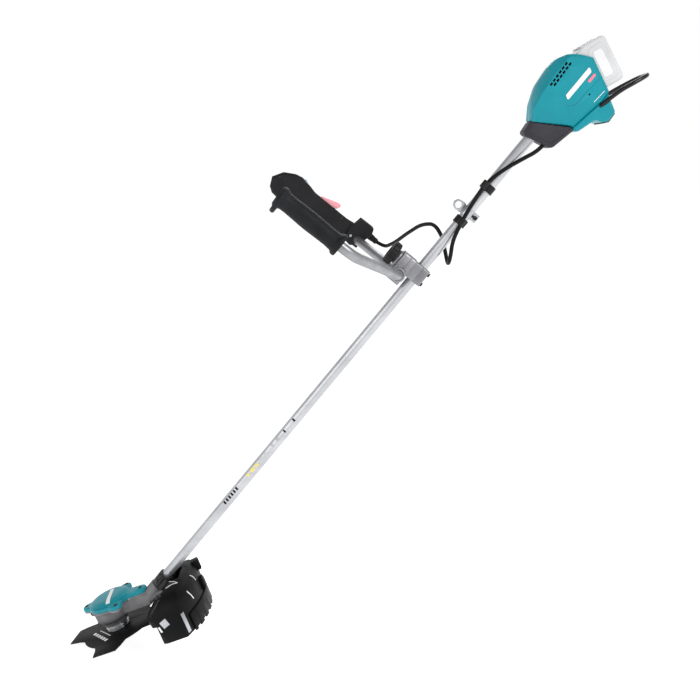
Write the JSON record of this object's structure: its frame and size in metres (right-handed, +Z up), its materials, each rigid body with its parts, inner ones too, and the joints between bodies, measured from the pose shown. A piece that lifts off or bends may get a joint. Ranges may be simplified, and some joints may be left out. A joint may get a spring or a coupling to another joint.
{
  "type": "brush cutter",
  "caption": "Battery brush cutter: straight pipe, direct-drive head with toothed blade and guard, U handle, rear motor-control housing.",
  "frame": {"origin": "centre of the harness eye on the main pipe", "axes": "carried position: +Z up, +X towards the rear and the battery, +Y to the user's right; the pipe rises 50.9 degrees towards +X"},
  "size_m": [1.3136, 0.524, 1.4098],
  "materials": {
    "teal_shell": "moulded glass-filled nylon in teal, satin to glossy",
    "black_plastic": "moulded black nylon, fine texture",
    "soft_grip": "soft black elastomer, matt",
    "cable_rubber": "black cable sheath",
    "pipe_aluminium": "clear anodised, satin",
    "cast_alloy": "die-cast, fine blasted",
    "fastener_steel": "black oxide",
    "plated_steel": "zinc plated",
    "core_steel": "laminated",
    "blade_steel": "black painted steel, ground edges",
    "black_coat": "black powder coat",
    "lever_red": "red moulded plastic",
    "button_pale": "pale grey-blue",
    "battery_shell": "pale translucent grey",
    "cell_wrap": "shrink wrap",
    "winding_copper": "enamelled copper"
  },
  "bodies": {
    "frame": {"main_pipe": "pipe_aluminium", "lead_spacers": "cable_rubber", "motor_lead": "cable_rubber", "motor_case": "cast_alloy", "motor_cap": "teal_shell", "head_screws": "fastener_steel", "stator_core": "core_steel", "stator_coils": "winding_copper", "spindle_bearings": "plated_steel", "guard_shell": "black_plastic", "guard_extension": "black_plastic", "guard_clips": "black_plastic", "guard_bracket": "black_coat", "guard_bracket_cap": "black_coat", "guard_bolts": "fastener_steel", "cord_cutter": "plated_steel", "hanger_plate": "plated_steel", "hanger_band": "plated_steel", "hanger_screw": "fastener_steel", "pipe_clamp_lower": "cast_alloy", "pipe_clamp_upper": "cast_alloy", "clamp_bolts": "fastener_steel", "control_cable": "cable_rubber", "cable_clip_front": "black_plastic", "cable_clip_rear": "black_plastic", "housing_left_shell": "teal_shell", "housing_right_shell": "teal_shell", "housing_screws": "fastener_steel", "housing_base_cover": "teal_shell", "nose_boot": "black_plastic", "rear_guard_loop": "black_coat", "terminal_block": "black_plastic", "battery_contacts": "winding_copper", "controller_module": "cast_alloy"},
    "cutter": {"rotor_core": "core_steel", "rotor_magnets": "plated_steel", "spindle": "plated_steel", "receiver_washer": "plated_steel", "blade": "blade_steel", "clamp_washer": "plated_steel", "blade_cup": "plated_steel", "blade_nut": "fastener_steel"},
    "handle": {"handle_saddle": "cast_alloy", "handle_clamp_cap": "cast_alloy", "saddle_screws": "fastener_steel", "handlebar": "pipe_aluminium", "left_grip": "soft_grip", "trigger_housing_left": "black_plastic", "trigger_housing_right": "black_plastic", "handle_screws": "fastener_steel", "lever_pins": "fastener_steel", "trigger_switch": "black_plastic", "cable_strain_relief": "cable_rubber"},
    "knob": {"clamp_knob": "black_plastic"},
    "trigger": {"trigger": "black_plastic"},
    "lock_off": {"lock_off_lever": "lever_red"},
    "power_button": {"power_button": "button_pale"},
    "battery": {"battery_case": "battery_shell", "battery_cells": "cell_wrap"},
    "battery_button": {"battery_release_button": "battery_shell"}
  },
  "joints": [
    {"name": "cutter_spin", "type": "hinge", "parent": "frame", "child": "cutter", "pos_m": [-0.80023, 0, -1.01323], "axis": [-0.3518, 0, 0.9361], "continuous": true},
    {"name": "handle_swivel", "type": "hinge", "parent": "frame", "child": "handle", "pos_m": [-0.10368, 0, -0.13867], "axis": [-0.776, 0, 0.6307], "range_deg": [0, 90], "deforming": ["control_cable"]},
    {"name": "knob_turn", "type": "hinge", "parent": "handle", "child": "knob", "pos_m": [-0.13316, 0, -0.11471], "axis": [-0.776, 0, 0.6307], "range_deg": [0, 540]},
    {"name": "trigger_pull", "type": "hinge", "parent": "handle", "child": "trigger", "pos_m": [-0.3429, 0.24, -0.01127], "axis": [0, -1, 0], "range_deg": [0, 9], "stiffness_Nm_per_rad": 0.3, "springref_deg": -17.19},
    {"name": "lock_off_press", "type": "hinge", "parent": "handle", "child": "lock_off", "pos_m": [-0.30875, 0.24, 0.00222], "axis": [0, 1, 0], "range_deg": [0, 8], "stiffness_Nm_per_rad": 0.15, "springref_deg": -17.19},
    {"name": "power_press", "type": "slide", "parent": "handle", "child": "power_button", "axis": [-0.8034, 0, -0.5954], "range_m": [0, 0.0015], "stiffness_N_per_m": 400, "springref_m": -0.002},
    {"name": "battery_slide", "type": "slide", "parent": "frame", "child": "battery", "axis": [-0.497, 0, 0.8678], "range_m": [0, 0.12]},
    {"name": "battery_release", "type": "slide", "parent": "battery", "child": "battery_button", "axis": [0.497, 0, -0.8678], "range_m": [0, 0.003], "stiffness_N_per_m": 300, "springref_m": -0.004}
  ]
}
